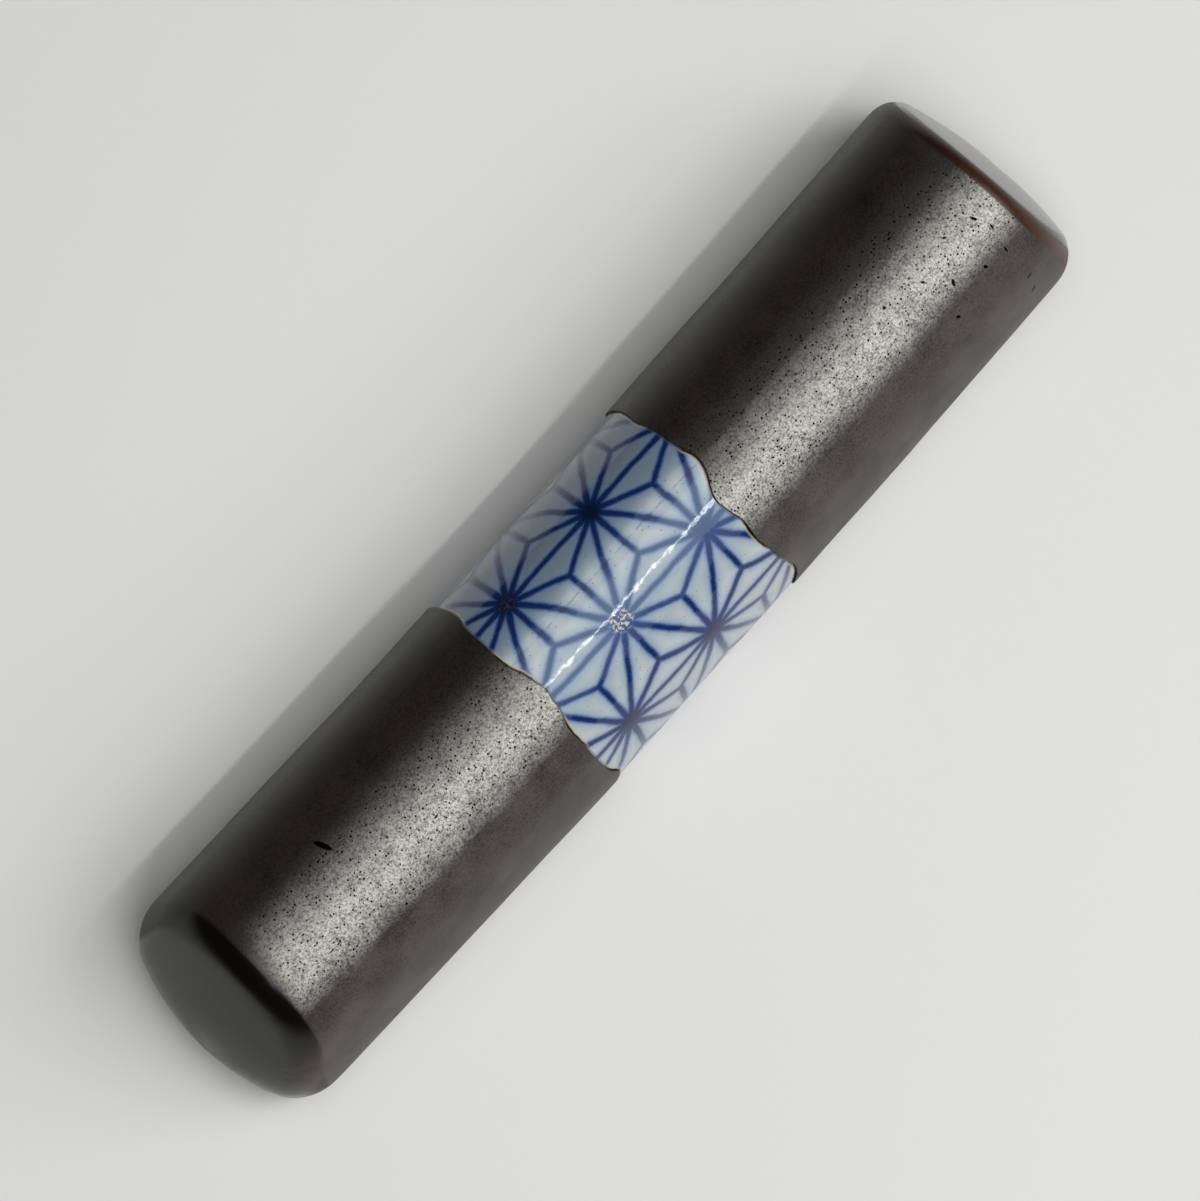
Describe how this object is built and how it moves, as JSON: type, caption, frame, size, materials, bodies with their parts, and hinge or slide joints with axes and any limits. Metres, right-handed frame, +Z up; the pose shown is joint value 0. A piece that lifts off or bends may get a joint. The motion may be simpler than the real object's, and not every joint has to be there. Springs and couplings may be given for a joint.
{
  "type": "chopstick rest",
  "caption": "Stick-shaped ceramic chopstick rest: a rod of arched section on a flat foot, with a blue hemp-leaf printed band round the waist and dark iron-glazed ends.",
  "frame": {"origin": "centre of the flat foot, at the bottom of the rod", "axes": "+X along the rod towards its squarer end, +Y across it towards the back, +Z up from the foot to the crest"},
  "size_m": [0.07, 0.0154, 0.013],
  "materials": {
    "bare_porcelain": "bare fired porcelain, matt and fine-grained",
    "cobalt_print": "cobalt underglaze print",
    "clear_glazed_print": "clear glossy glaze over a cobalt print on bluish-white porcelain",
    "iron_glaze": "dark iron glaze, satin metallic, finely peppered"
  },
  "bodies": {
    "root": {"porcelain_body": "bare_porcelain", "asanoha_transfer": "cobalt_print", "clear_glaze_band": "clear_glazed_print", "iron_glaze_left": "iron_glaze", "iron_glaze_right": "iron_glaze"}
  },
  "joints": []
}
